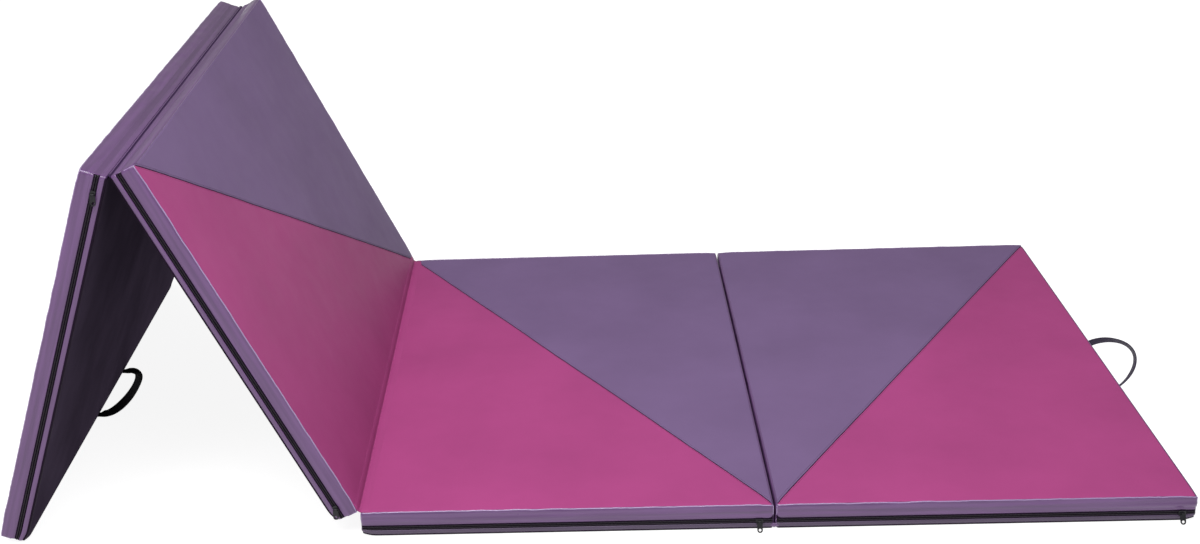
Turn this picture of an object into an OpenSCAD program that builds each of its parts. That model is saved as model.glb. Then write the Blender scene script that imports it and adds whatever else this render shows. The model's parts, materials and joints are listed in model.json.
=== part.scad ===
// Four-panel folding gym mat. Panels 1 and 2 stand up as a tent, and panels 3 and 4 lie flat.
// +X runs along the mat from panel 1 to panel 4, +Y away from the zippers, +Z up.
// The origin is on the floor, midway along the mat, on its centre line.
// Each panel is drawn lying flat with its left hinge line at x = 0 and its underside at z = 0.

/* [Mat] */
// Length of one panel, from one hinge line to the next
panel_l = 762; // [600:1:900]
// Width of the mat, across the panels
mat_w = 1219; // [1000:1:1500]
// Thickness of a panel
thick = 51; // [40:1:76]
// Radius of a panel's corners, seen from above
corner_r = 6; // [4:1:20]
// Clearance between a hinge line and the panel beside it
hinge_gap = 2; // [1.5:0.1:4]

/* [Pose] */
// Angle between panel 2 and the floor, in degrees
lean_2 = 64.5; // [55:0.5:72]

/* [Cover] */
// Thickness of the vinyl cover
skin = 1; // [0.6:0.1:1.5]
// Height of the zipper's lower edge above the underside
low_band_h = 13; // [10:0.5:16]
// How far the underside's vinyl wraps up the side walls
hem_h = 4; // [3:0.5:5]
// Radius of the welt sewn along each hinge line
welt_r = 1.2; // [0.8:0.1:1.4]

/* [Zippers] */
// Width of the zipper tape that shows
zip_h = 10.5; // [8:0.5:12]
// Width of each row of teeth
row_w = 2; // [1.5:0.1:2.5]
// Slit between the two rows, where the slider's neck runs
slit = 1.6; // [1.4:0.1:2]
// Distance from a hinge line to the end of the zipper
zip_margin = 17; // [16:1:40]
// Length of the slider
slider_l = 13; // [10:1:16]
// Distance from a panel's right hinge line to the middle of its slider
slider_in = 28; // [28:1:80]
// The same on panel 1, whose slider has slipped down from the ridge
slider_in_1 = 38; // [28:1:80]
// Length of the pull, from its bar to its tip
pull_l = 20; // [14:1:20]
// Width of the pull
pull_w = 10; // [6:1:12]

/* [Handles] */
// Width of the handle webbing
strap_w = 18; // [16:1:25]
// Thickness of the handle webbing
strap_t = 1.6; // [1.2:0.1:2]
// Half the distance between the two ends of a handle
handle_half = 105; // [80:1:120]
// How far the right handle stands out from its hem
handle_out = 94; // [70:1:110]
// The same for the left handle, whose webbing is partly drawn in under the foot
handle_out_left = 58; // [50:1:110]
// Tilt of the right handle above the panel's plane, in degrees
tilt_right = 33; // [25:1:40]
// Tilt of the left handle, measured the same way on panel 1
tilt_left = -129; // [-139:1:-125]

/* [Hidden] */
$fn = 48;
eps = 0.01;

pink = [0.70, 0.29, 0.51];
purple = [0.48, 0.40, 0.56];
band_purple = [0.45, 0.36, 0.55];
black = [0.14, 0.13, 0.15];
zip_black = [0.09, 0.07, 0.11];
metal = [0.25, 0.25, 0.27];
webbing = [0.25, 0.22, 0.28];
foam_white = [0.93, 0.92, 0.88];

// Zipper on the near side. Depths are measured outwards from the side wall's face.
near_y = -mat_w / 2;
zip_z = low_band_h + zip_h / 2;
zip_len = panel_l - 2 * zip_margin;
tape_t = 0.8;
row_out = 0.8;
run_gap = 0.3;
plate_t = 1.4;
rear_t = 1.2;
plate_h = 8.6;
neck_w = 1;
neck_l = 5;
groove_d = 2.2;
groove_h = zip_h + 1;
bar_r = 0.7;
bar_out = row_out + run_gap + plate_t + 1.8;
bail_l = 8;
post_l = 1.5;
eye_r = 1.5;
eye_l = 4;
eye_bore_r = bar_r + 0.1;
pull_t = 1.4;
pull_hole_r = 2.6;
stop_l = 3;
slider_x = [for (n = [1:4]) panel_l - (n == 1 ? slider_in_1 : slider_in)];
// Lean of each panel's pull away from the side wall: the flat panels' pulls stand on the floor.
pull_lean = [8, 8, 30, 30];

// Handles: the webbing comes out of a notch in the bottom hem of the end wall and turns about it.
pivot_in = 3.2;
pivot_z = 0.8;
notch_w = strap_w + 3;
notch_d = 6;
tail_l = 21;
hoop_x = 18;
hoop_steps = 28;
patch_w = 34;
patch_h = 26;
patch_z = 10;
patch_t = 1;

// Placing of the panels: panel 1 leans so that its foot just reaches the floor.
ridge_z = thick + panel_l * sin(lean_2) - thick * cos(lean_2);
lean_1 = asin(ridge_z / (panel_l - hinge_gap));
ridge_back = panel_l * (1 + cos(lean_2)) + thick * sin(lean_2);
left_reach = ridge_back + (panel_l - hinge_gap) * cos(lean_1) + thick * sin(lean_1);
right_reach = panel_l - hinge_gap - pivot_in + handle_out * cos(tilt_right) + strap_w / 2 * sin(tilt_right);
x_hinge_34 = (left_reach - right_reach) / 2;
x_hinge_23 = x_hinge_34 - panel_l;
x_ridge = x_hinge_34 - ridge_back;
// On the leaning panels the bail and pull are turned in the wall's plane, so that the pull hangs down.
pull_turn = [lean_1, -lean_2, 0, 0];

PANELS = [1, 2, 3, 4];
PANEL_PARTS = ["foam", "top_pink", "top_purple", "border", "lower_band", "underside",
               "zipper_tape", "zipper_teeth", "zipper_slider", "zipper_pull"];
OTHER_NODES = ["hinge_welt_1_2", "hinge_welt_2_3", "hinge_welt_3_4",
               "handle_left_loop", "handle_left_patches",
               "handle_right_loop", "handle_right_patches"];

// Puts what is drawn on a flat panel where that panel stands.
module on_panel(n) {
    if (n == 1)
        translate([x_ridge, 0, ridge_z])
            rotate([0, -lean_1, 0])
                translate([-panel_l, 0, 0]) children();
    if (n == 2)
        translate([x_hinge_23, 0, thick])
            rotate([0, lean_2, 0])
                translate([-panel_l, 0, -thick]) children();
    if (n == 3)
        translate([x_hinge_23, 0, 0]) children();
    if (n == 4)
        translate([x_hinge_34, 0, 0]) children();
}

// The panel's outline with round corners, drawn in from its edges by inset.
module outline(inset = 0) {
    x0 = hinge_gap + inset;
    x1 = panel_l - hinge_gap - inset;
    y1 = mat_w / 2 - inset;
    r = corner_r - inset;
    translate([x0 + r, -y1]) square([x1 - x0 - 2 * r, 2 * y1]);
    translate([x0, -y1 + r]) square([x1 - x0, 2 * y1 - 2 * r]);
    for (x = [x0 + r, x1 - r], y = [-y1 + r, y1 - r])
        translate([x, y]) circle(r);
}

module slab(z, h, inset = 0) {
    translate([0, 0, z]) linear_extrude(h) outline(inset);
}

// The notches in the bottom hem of the outer end wall, where the handle webbing comes out.
module handle_notches(n) {
    end_x = (n == 1) ? hinge_gap : panel_l - hinge_gap;
    if (n == 1 || n == 4)
        for (side = [-1, 1])
            translate([end_x - notch_d, side * handle_half - notch_w / 2, -notch_d])
                cube([2 * notch_d, notch_w, 2 * notch_d]);
}

// A box along the zipper, from out to out + depth outside the side wall (negative is inwards).
module zip_box(out, depth, z, h, length = zip_len) {
    translate([(panel_l - length) / 2, near_y - out - depth, z]) cube([length, depth, h]);
}

// Foam core, with a groove behind the zipper for the slider's rear plate.
module foam(n) {
    color(foam_white)
        difference() {
            slab(skin, thick - 2 * skin, skin);
            zip_box(-skin - groove_d, groove_d + eps, zip_z - groove_h / 2, groove_h);
            handle_notches(n);
        }
}

// One of the two triangles of the top face. The diagonal seam zigzags from panel to panel.
module top_triangle(n, near_side) {
    near = -mat_w / 2;
    far = mat_w / 2;
    seam = (n % 2 == 1) ? [[0, far], [panel_l, near]] : [[0, near], [panel_l, far]];
    near_corner = (n % 2 == 1) ? [0, near] : [panel_l, near];
    far_corner = (n % 2 == 1) ? [panel_l, far] : [0, far];
    intersection() {
        slab(thick - skin, skin);
        translate([0, 0, thick - 2 * skin])
            linear_extrude(3 * skin)
                polygon(concat(seam, [near_side ? near_corner : far_corner]));
    }
}

module top_pink(n) {
    color(pink) top_triangle(n, true);
}

module top_purple(n) {
    color(purple) top_triangle(n, false);
}

// Side walls all round. The near one is open for the zipper and the band under it.
module border(n) {
    color(band_purple)
        difference() {
            slab(hem_h, thick - skin - hem_h);
            slab(0, thick, skin);
            zip_box(-2 * skin, 3 * skin, 0, low_band_h + zip_h);
            handle_notches(n);
        }
}

module lower_band(n) {
    color(band_purple) zip_box(-skin, skin, hem_h, low_band_h - hem_h);
}

// The underside wraps a little way up the side walls.
module underside(n) {
    color(black)
        difference() {
            slab(0, hem_h);
            slab(skin, hem_h, skin);
            handle_notches(n);
        }
}

// Two woven tapes, one above and one below the slit.
module zipper_tape(n) {
    tape_h = (zip_h - slit) / 2;
    color(zip_black)
        for (z = [low_band_h, zip_z + slit / 2])
            zip_box(-skin, tape_t, z, tape_h);
}

// Two rows of teeth in front of the tapes, joined by a stop at each end.
module zipper_teeth(n) {
    row_back = skin - tape_t;
    color(zip_black) {
        for (z = [zip_z - slit / 2 - row_w, zip_z + slit / 2])
            zip_box(-row_back, row_back + row_out, z, row_w);
        for (x = [zip_margin, panel_l - zip_margin - stop_l])
            translate([x, near_y - row_out, zip_z - slit / 2 - row_w])
                cube([stop_l, row_out, slit + 2 * row_w]);
    }
}

// Slider: a front and a rear plate joined by a neck in the slit, with a bail for the pull.
module zipper_slider(n) {
    front_out = row_out + run_gap;
    rear_in = skin + run_gap;
    color(metal)
        translate([slider_x[n - 1], near_y, zip_z]) {
            translate([-slider_l / 2, -front_out - plate_t, -plate_h / 2])
                cube([slider_l, plate_t, plate_h]);
            translate([-slider_l / 2, rear_in, -plate_h / 2])
                cube([slider_l, rear_t, plate_h]);
            translate([-neck_l / 2, -front_out - eps, -neck_w / 2])
                cube([neck_l, front_out + rear_in + 2 * eps, neck_w]);
            rotate([0, pull_turn[n - 1], 0]) {
                for (x = [-bail_l / 2, bail_l / 2 - post_l])
                    translate([x, -bar_out, -bar_r])
                        cube([post_l, bar_out - front_out - plate_t + eps, 2 * bar_r]);
                translate([-bail_l / 2, -bar_out, 0])
                    rotate([0, 90, 0]) cylinder(r = bar_r, h = bail_l);
            }
        }
}

// Pull: a tab with a round end and a hole, hanging from an eye round the bail's bar.
module zipper_pull(n) {
    color(metal)
        translate([slider_x[n - 1], near_y - bar_out, zip_z])
            rotate([0, pull_turn[n - 1], 0]) rotate([-pull_lean[n - 1], 0, 0])
                difference() {
                    union() {
                        translate([-eye_l / 2, 0, 0])
                            rotate([0, 90, 0]) cylinder(r = eye_r, h = eye_l);
                        translate([-eye_l / 2, -pull_t / 2, -pull_w / 2])
                            cube([eye_l, pull_t, pull_w / 2 - eye_r / 2]);
                        translate([-pull_w / 2, -pull_t / 2, pull_w / 2 - pull_l])
                            cube([pull_w, pull_t, pull_l - pull_w / 2 - eye_r - 1]);
                        translate([0, pull_t / 2, pull_w / 2 - pull_l])
                            rotate([90, 0, 0]) cylinder(d = pull_w, h = pull_t);
                    }
                    translate([-eye_l / 2 - 1, 0, 0])
                        rotate([0, 90, 0]) cylinder(r = eye_bore_r, h = eye_l + 2);
                    translate([0, pull_t, pull_w / 2 - pull_l])
                        rotate([90, 0, 0]) cylinder(r = pull_hole_r, h = 2 * pull_t);
                }
}

// Half-round welt on a hinge line with a web to its panel's end wall. It lies inside the panel's
// thickness: up is 1 on an underside hinge and -1 on a top hinge, inwards is the panel's side.
module welt(x, z, up, inwards, colour) {
    length = mat_w - 2 * corner_r;
    color(colour)
        translate([x, 0, z])
            intersection() {
                union() {
                    rotate([90, 0, 0]) cylinder(r = welt_r, h = length, center = true);
                    translate([inwards * hinge_gap / 2, 0, 0])
                        cube([hinge_gap, length, 2 * skin], center = true);
                }
                translate([0, 0, up * hinge_gap])
                    cube([4 * hinge_gap, mat_w, 2 * hinge_gap], center = true);
            }
}

// Webbing loop about its own hinge line: it stands out along +X and is strap_w high.
module handle_loop(out) {
    a = handle_half;
    b = out - hoop_x - strap_t / 2;
    t = strap_t / 2;
    function arc(grow) = [for (i = [0:hoop_steps])
        [hoop_x + (b + grow) * sin(180 * i / hoop_steps), (a + grow) * cos(180 * i / hoop_steps)]];
    function back(points) = [for (i = [len(points) - 1:-1:0]) points[i]];
    color(webbing) {
        for (side = [-1, 1])
            translate([0, side * a, 0]) {
                translate([0, -strap_w / 2, -t]) cube([tail_l, strap_w, strap_t]);
                rotate([90, 0, 0]) cylinder(r = t, h = strap_w, center = true);
            }
        translate([0, 0, -strap_w / 2])
            linear_extrude(strap_w) polygon(concat(arc(t), back(arc(-t))));
    }
}

module handle_right_loop() {
    translate([panel_l - hinge_gap - pivot_in, 0, pivot_z])
        rotate([0, -tilt_right, 0]) handle_loop(handle_out);
}

module handle_left_loop() {
    translate([hinge_gap + pivot_in, 0, pivot_z])
        mirror([1, 0, 0])
            rotate([0, -tilt_left, 0]) handle_loop(handle_out_left);
}

// Stitched patches that hold the webbing's ends to the end wall.
module handle_patches(face_x) {
    color(band_purple)
        for (side = [-1, 1])
            translate([face_x, side * handle_half - patch_w / 2, patch_z])
                cube([patch_t, patch_w, patch_h]);
}

for (n = PANELS) {
    on_panel(n) foam(n);
    on_panel(n) top_pink(n);
    on_panel(n) top_purple(n);
    on_panel(n) border(n);
    on_panel(n) lower_band(n);
    on_panel(n) underside(n);
    on_panel(n) zipper_tape(n);
    on_panel(n) zipper_teeth(n);
    on_panel(n) zipper_slider(n);
    on_panel(n) zipper_pull(n);
}
on_panel(2) welt(0, 0, 1, 1, band_purple);  // hinge_welt_1_2
on_panel(3) welt(0, thick, -1, 1, pink);  // hinge_welt_2_3
on_panel(3) welt(panel_l, 0, 1, -1, band_purple);  // hinge_welt_3_4
on_panel(1) handle_left_loop();
on_panel(1) handle_patches(hinge_gap - patch_t);  // handle_left_patches
on_panel(4) handle_right_loop();
on_panel(4) handle_patches(panel_l - hinge_gap);  // handle_right_patches
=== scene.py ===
"""Looks of the folding gym mat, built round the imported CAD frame. Metres, in the row frame."""

import json
import math

import bmesh
import bpy
import numpy as np
from mathutils import Matrix, Vector


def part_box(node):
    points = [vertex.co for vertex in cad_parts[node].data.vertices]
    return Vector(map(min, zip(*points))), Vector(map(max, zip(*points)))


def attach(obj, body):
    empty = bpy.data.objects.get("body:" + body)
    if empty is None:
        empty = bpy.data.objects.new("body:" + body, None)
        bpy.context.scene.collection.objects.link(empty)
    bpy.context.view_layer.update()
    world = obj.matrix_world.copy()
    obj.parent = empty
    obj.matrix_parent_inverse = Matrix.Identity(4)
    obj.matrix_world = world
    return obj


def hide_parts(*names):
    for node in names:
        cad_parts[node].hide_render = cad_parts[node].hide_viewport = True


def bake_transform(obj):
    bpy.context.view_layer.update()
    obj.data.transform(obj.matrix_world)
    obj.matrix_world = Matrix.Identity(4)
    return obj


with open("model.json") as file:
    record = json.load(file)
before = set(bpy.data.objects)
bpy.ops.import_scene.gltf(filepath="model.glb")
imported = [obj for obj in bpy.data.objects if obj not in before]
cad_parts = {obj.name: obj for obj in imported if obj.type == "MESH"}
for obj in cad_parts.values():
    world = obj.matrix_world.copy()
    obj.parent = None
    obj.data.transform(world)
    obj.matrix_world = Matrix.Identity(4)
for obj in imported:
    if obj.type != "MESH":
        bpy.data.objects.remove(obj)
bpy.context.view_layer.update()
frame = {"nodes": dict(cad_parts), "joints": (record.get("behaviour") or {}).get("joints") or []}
scene = bpy.context.scene

# ---------------- sizes taken from the frame
joints = {j["name"]: j for j in frame["joints"]}
RIDGE = Vector(joints["fold_1_2"]["pos_m"])
FOLD_23 = Vector(joints["fold_2_3"]["pos_m"])
FOLD_34 = Vector(joints["fold_3_4"]["pos_m"])
PANEL_L = FOLD_34.x - FOLD_23.x
THICK = FOLD_23.z
sheet_low, sheet_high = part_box("panel_3_underside")
GAP = sheet_low.x - FOLD_23.x
HALF_W = sheet_high.y
LEAN_2 = math.radians(-joints["fold_2_3"]["range_deg"][0])
LEAN_1 = math.asin(RIDGE.z / (PANEL_L - GAP))
tape_low, tape_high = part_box("panel_3_zipper_tape")
ZIP_Z0 = tape_low.z
ZIP_Z1 = tape_high.z
ZIP_Z = (ZIP_Z0 + ZIP_Z1) / 2
NEAR_Y = -HALF_W
X0 = GAP
X1 = PANEL_L - GAP
CORNER_R = 0.006  # the panel's upright corners
LOOP_STOP = 46  # each loop swings up to this many degrees above its panel's plane
RIGHT_TILT = math.radians(LOOP_STOP - joints["handle_right_swing"]["range_deg"][1])
LEFT_TILT = LEAN_1 - math.radians(180 + LOOP_STOP - joints["handle_left_swing"]["range_deg"][1])
PATCH_T = 0.001  # thickness of the patches on the handles' ends

PLACE = {
    1: Matrix.Translation(RIDGE)
    @ Matrix.Rotation(-LEAN_1, 4, "Y")
    @ Matrix.Translation((-PANEL_L, 0, 0)),
    2: Matrix.Translation(FOLD_23)
    @ Matrix.Rotation(LEAN_2, 4, "Y")
    @ Matrix.Translation((-PANEL_L, 0, -THICK)),
    3: Matrix.Translation((FOLD_23.x, 0, 0)),
    4: Matrix.Translation((FOLD_34.x, 0, 0)),
}

# ---------------- shape of the cover
EDGE_ROLL = 0.0034  # radius of the top edge
SEAM_IN = 0.0034  # how far in from the edge the top's seam runs
BASE_ROLL = 0.005  # radius of the bottom edge
HEM_TOP = 0.004  # height of the black hem on the side walls
HEM_TOP_NEAR = {1: 0.0045}  # the same on the near walls, where it differs
HEM_TOP_HINGE = 0.0026  # the same beside an underside hinge
TUCK = 0.0014  # how far the lower band draws in towards the bottom edge
WALL_BULGE = 0.0011  # how far the upper band swells out
LOW_BULGE = 0.0006  # the same for the lower band
CROWN, CROWN_REACH = 0.0022, 0.06  # the top rises this much, over this distance from its edge
LIP = 0.0016  # the zipper's tapes lie this deep in the wall
VINYL_T = 0.0009
SHEET_T = 0.0006  # the hinges' vinyl
TAPE_T = 0.0004
# rounding of the upper band's lower corners, at the left end and the right end
BAND_CORNER = {1: (0.004, 0.004), 2: (0.004, 0.004), 3: (0.004, 0.011), 4: (0.011, 0.004)}
PATCH_Y = 0.105  # the handles' ends are this far from the middle

# ---------------- unevenness: height, wavelength
SWELL, SWELL_LONG = 0.0008, 0.34  # slow swell of the tops
RIPPLE, RIPPLE_LONG = 0.00022, 0.085  # quicker ripples on them
UNEVEN_REACH = 0.03  # both start over this distance from the edge
PUCKER, PUCKER_LONG = 0.00022, 0.03  # puckers along the tops' edge
PUCKER_AT = 0.008  # their distance from the edge, and their half width
# puckers beside the diagonal seam: height, wavelength and how far they reach
SEAM_PUCKER, SEAM_PUCKER_LONG, SEAM_PUCKER_REACH = 0.00022, 0.028, 0.014
GROOVE, GROOVE_HALF_W = 0.0012, 0.0018  # the diagonal seam's groove
EDGE_GROOVE, EDGE_GROOVE_HALF_W = 0.0006, 0.0012  # the edge seam's groove
CORNER_DROP, CORNER_REACH = 0.0015, 0.02  # the tops sink at their corners
BASE_CORNER_LIFT, BASE_CORNER_REACH = 0.0055, 0.014  # the free bottom corners rise
BASE_LIFT_TOP = 0.024  # height at which that rise has faded out
CREASE_DEPTH, LOW_CREASE_DEPTH = 0.0013, 0.0004  # creases in the upper and lower band
CREASE_LONG, CREASES_UP = 0.32, 26  # their length, and how much quicker they change upwards
SAG, SAG_LONG = 0.0007, 0.2  # the undersides' slow waves
SAG_RIPPLE, SAG_RIPPLE_LONG = 0.0003, 0.05  # quicker ripples on them


class Waves:
    """A sum of sines with fixed directions and phases, about -1 to 1: soft unevenness."""

    def __init__(self, seed, wavelength, count=7):
        rng = np.random.RandomState(seed)
        angle = rng.uniform(0, math.pi, count)
        k = 2 * math.pi / (wavelength * rng.uniform(0.7, 1.5, count))
        self.kx, self.ky = k * np.cos(angle), k * np.sin(angle)
        self.phase = rng.uniform(0, 2 * math.pi, count)
        self.gain = 1.4 / count

    def __call__(self, x, y=0.0):
        x = np.asarray(x, float)[..., None]
        y = np.asarray(y, float)[..., None]
        return self.gain * np.sin(x * self.kx + y * self.ky + self.phase).sum(-1)


def inset_of(x, y):
    """Distance of a point inwards from the panel's rounded outline."""
    cx, half_x = (X0 + X1) / 2, (X1 - X0) / 2
    qx = np.abs(x - cx) - (half_x - CORNER_R)
    qy = np.abs(y) - (HALF_W - CORNER_R)
    outside = np.hypot(np.maximum(qx, 0), np.maximum(qy, 0))
    return CORNER_R - outside - np.minimum(np.maximum(qx, qy), 0)


def corner_nearness(x, y, reach):
    """1 at the outline's corners, fading to 0 over the reach."""
    dx = np.minimum(np.abs(x - X0), np.abs(x - X1))
    dy = HALF_W - np.abs(y)
    return np.exp(-((dx**2 + dy**2) / reach**2))


def smooth(t):
    """0 to 1 with a soft start and end."""
    t = np.clip(t, 0, 1)
    return t * t * (3 - 2 * t)


def unit(rows):
    """Rows of vectors, each made one long."""
    return rows / np.linalg.norm(rows, axis=1)[:, None]


def roll_drop(e, radius):
    """How far a rounded edge has dropped at a distance in from the outline."""
    inside = np.clip(radius - e, 0, radius)
    return radius - np.sqrt(radius**2 - inside**2)


def seam_frame(n):
    """The diagonal seam's start, its directions along and across, and its length."""
    side = 1 if n % 2 else -1  # the seam zigzags from panel to panel
    length = math.hypot(PANEL_L, 2 * HALF_W)
    along = (PANEL_L / length, -side * 2 * HALF_W / length)
    return (0.0, side * HALF_W), along, (-along[1], along[0]), length


def seam_distance(n, x, y):
    """Signed distance from the diagonal seam."""
    (ax, ay), _, across, _ = seam_frame(n)
    return (x - ax) * across[0] + (y - ay) * across[1]


def top_height(n, x, y, grooves=True):
    """Height of panel n's top face in its own frame."""
    e = inset_of(x, y)
    z = THICK - roll_drop(e, EDGE_ROLL)
    z = z + CROWN * (1 - np.exp(-np.maximum(e, 0) / CROWN_REACH))
    inner = 1 - np.exp(-np.maximum(e, 0) / UNEVEN_REACH)
    z = z + SWELL * inner * Waves(10 + n, SWELL_LONG)(x, y)
    z = z + RIPPLE * inner * Waves(20 + n, RIPPLE_LONG)(x, y)
    pucker = Waves(30 + n, PUCKER_LONG)(x, y)
    z = z + PUCKER * np.exp(-((e - PUCKER_AT) ** 2) / PUCKER_AT**2) * pucker
    z = z - CORNER_DROP * corner_nearness(x, y, CORNER_REACH)
    if grooves:
        d = np.abs(seam_distance(n, x, y))
        z = z - GROOVE * np.exp(-((d / GROOVE_HALF_W) ** 2))
        pucker = Waves(40 + n, SEAM_PUCKER_LONG)(x, y)
        z = z + SEAM_PUCKER * np.exp(-(d / SEAM_PUCKER_REACH)) * pucker
        z = z - EDGE_GROOVE * np.exp(-(((e - SEAM_IN) / EDGE_GROOVE_HALF_W) ** 2))
    return z


def base_lift(n, x, y, z):
    """The cover's free bottom corners, away from its underside hinge, are rounded upwards."""
    dx = x - (X0 if n % 2 else X1)
    dy = HALF_W - np.abs(y)
    near = np.exp(-((dx**2 + dy**2) / BASE_CORNER_REACH**2))
    return BASE_CORNER_LIFT * near * np.clip(1 - z / BASE_LIFT_TOP, 0, 1)


def grid_lines(low, high, step, fine):
    """Lines from low to high, close together next to both ends."""
    count = max(2, int(round((high - low - 2 * fine[-1]) / step)))
    middle = np.linspace(low + fine[-1], high - fine[-1], count + 1)
    left = [low + f for f in fine[:-1]]
    right = [high - f for f in reversed(fine[:-1])]
    return np.array(left + list(middle) + right)


def round_corners(x, y, inset):
    """Draws a rectangle's corner squares onto quarter discs, so that its corners are round."""
    r = CORNER_R - inset
    cx, half_x = (X0 + X1) / 2, (X1 - X0) / 2 - inset - r
    half_y = HALF_W - inset - r
    qx = (np.abs(x - cx) - half_x) / r
    qy = (np.abs(y) - half_y) / r
    at_corner = (qx > 0) & (qy > 0)
    size = np.hypot(qx, qy)
    scale = np.where(at_corner, np.maximum(qx, qy) / np.maximum(size, 1e-9), 1)
    nx = np.where(at_corner, cx + np.sign(x - cx) * (half_x + qx * scale * r), x)
    ny = np.where(at_corner, np.sign(y) * (half_y + qy * scale * r), y)
    return nx, ny


def add_mesh(name, verts, faces, material, place, rounded=True):
    mesh = bpy.data.meshes.new(name)
    mesh.from_pydata(np.asarray(verts, float).tolist(), [], faces)
    mesh.polygons.foreach_set("use_smooth", [rounded] * len(mesh.polygons))
    mesh.materials.append(material)
    mesh.update()
    obj = bpy.data.objects.new(name, mesh)
    scene.collection.objects.link(obj)
    obj.matrix_world = place
    return obj


def thicken(obj, thickness=VINYL_T, offset=-1.0):
    mod = obj.modifiers.new("Thickness", "SOLIDIFY")
    mod.thickness = thickness
    mod.offset = offset


# ---------------- materials
WAVE_REPEAT = 0.314  # a wave texture of scale 1 repeats after this length
PULL = (0.6, 0.6, 16)  # squeezes a texture so that it runs lengthwise round the walls
SOFT_NOISE = (4.0, 0.55)  # detail and roughness of the soft noises
PEBBLE_SCALE, GLOSS_SCALE, FUZZ_SCALE, SCUFF_SCALE = 750, 26, 900, 240
CREASE_RELIEF, GRAIN_RELIEF = 0.0009, 0.00006


def fill(node, **values):
    """Sets a node's inputs. An underscore stands for the space in an input's name."""
    for name, value in values.items():
        node.inputs[name.replace("_", " ")].default_value = value


def add_node(tree, kind, feeds, **values):
    """A new node, with the sockets that feed some of its inputs and values for others."""
    node = tree.nodes.new("ShaderNode" + kind)
    fill(node, **values)
    for name, socket in feeds.items():
        tree.links.new(socket, node.inputs[name])
    return node


def new_material(name):
    """A material, its node tree, its shader and the coordinates that its textures use."""
    mat = bpy.data.materials.new(name)
    mat.use_nodes = True
    tree = mat.node_tree
    coord = add_node(tree, "TexCoord", {}).outputs["Object"]
    return mat, tree, tree.nodes["Principled BSDF"], coord


def noise_node(tree, coord, scale, detail, rough=0.5):
    return add_node(tree, "TexNoise", {"Vector": coord}, Scale=scale, Detail=detail,
                    Roughness=rough)


def ramp_node(tree, factor, colours, places=(0.3, 0.7)):
    ramp = add_node(tree, "ValToRGB", {"Fac": factor})
    for stop, colour, place in zip(ramp.color_ramp.elements, colours, places):
        stop.position = place
        stop.color = (*colour, 1)
    return ramp


def range_node(tree, value, low, high):
    return add_node(tree, "MapRange", {"Value": value}, To_Min=low, To_Max=high)


def bump_node(tree, height, strength, distance, **feeds):
    return add_node(tree, "Bump", {"Height": height, **feeds}, Strength=strength,
                    Distance=distance)


def plug(tree, shader, tint, rough, bump):
    """Joins a material's colour, roughness and relief to its shader."""
    tree.links.new(tint.outputs["Color"], shader.inputs["Base Color"])
    tree.links.new(rough.outputs["Result"], shader.inputs["Roughness"])
    tree.links.new(bump.outputs["Normal"], shader.inputs["Normal"])


def vinyl(name, colour, roughness, spread=0.07, specular=0.4, coat=0.0, crease=0.3,
          pulled=False):
    """Coated vinyl: a fine pebbled grain, faint creases, and uneven colour and gloss.

    Where it is pulled tight round the walls, its creases and shades run lengthwise."""
    mat, tree, shader, coord = new_material(name)
    long_coord, cloud_scale, fold_scale = coord, 4.5, 34
    if pulled:
        stretch = add_node(tree, "Mapping", {"Vector": coord}, Scale=PULL)
        long_coord, cloud_scale, fold_scale = stretch.outputs["Vector"], 6, 12
    cloud = noise_node(tree, long_coord, cloud_scale, *SOFT_NOISE)
    dark = [c * (1 - spread) for c in colour]
    light = [min(1, c * (1 + spread)) for c in colour]
    tint = ramp_node(tree, cloud.outputs["Fac"], (dark, light))
    gloss = noise_node(tree, coord, GLOSS_SCALE, 3.0)
    rough = range_node(tree, gloss.outputs["Fac"], roughness - 0.07, roughness + 0.09)
    pebble = add_node(tree, "TexVoronoi", {"Vector": coord}, Scale=PEBBLE_SCALE)
    folds = noise_node(tree, long_coord, fold_scale, *SOFT_NOISE)
    soft = bump_node(tree, folds.outputs["Fac"], crease, CREASE_RELIEF)
    fine = bump_node(tree, pebble.outputs["Distance"], 0.5, GRAIN_RELIEF, Normal=soft.outputs["Normal"])
    plug(tree, shader, tint, rough, fine)
    fill(shader, Specular_IOR_Level=specular)
    if coat:
        fill(shader, Coat_Weight=coat, Coat_Roughness=0.3)
    return mat


def woven(name, colour, pitch, depth=0.0004, sheen=0.0, specular=0.1):
    """Woven tape or webbing: two crossed sets of threads."""
    mat, tree, shader, coord = new_material(name)
    weave = add_node(tree, "Math", {})
    weave.operation = "MULTIPLY"
    for axis, factor in zip(("X", "Y"), weave.inputs):
        wave = add_node(tree, "TexWave", {"Vector": coord}, Scale=WAVE_REPEAT / pitch,
                        Distortion=0.6)
        wave.wave_type = "BANDS"
        wave.bands_direction = axis
        tree.links.new(wave.outputs["Fac"], factor)
    light = [min(1, c * 1.35) for c in colour]
    tint = ramp_node(tree, weave.outputs[0], (colour, light), (0.1, 0.9))
    fuzz = noise_node(tree, coord, FUZZ_SCALE, 2.0)
    rough = range_node(tree, fuzz.outputs["Fac"], 0.7, 0.9)
    plug(tree, shader, tint, rough, bump_node(tree, weave.outputs[0], 0.7, depth))
    fill(shader, Specular_IOR_Level=specular, Sheen_Weight=sheen, Sheen_Roughness=0.5)
    return mat


def hard(name, colour, metallic, roughness):
    """Moulded plastic or plated metal, with fine scuffs."""
    mat, tree, shader, coord = new_material(name)
    scuff = noise_node(tree, coord, SCUFF_SCALE, 5.0, 0.65)
    dark, light = [c * 0.8 for c in colour], [min(1, c * 1.25) for c in colour]
    tint = ramp_node(tree, scuff.outputs["Fac"], (dark, light))
    rough = range_node(tree, scuff.outputs["Fac"], roughness - 0.1, roughness + 0.12)
    plug(tree, shader, tint, rough, bump_node(tree, scuff.outputs["Fac"], 0.25, 0.0001))
    fill(shader, Metallic=metallic)
    return mat


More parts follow.
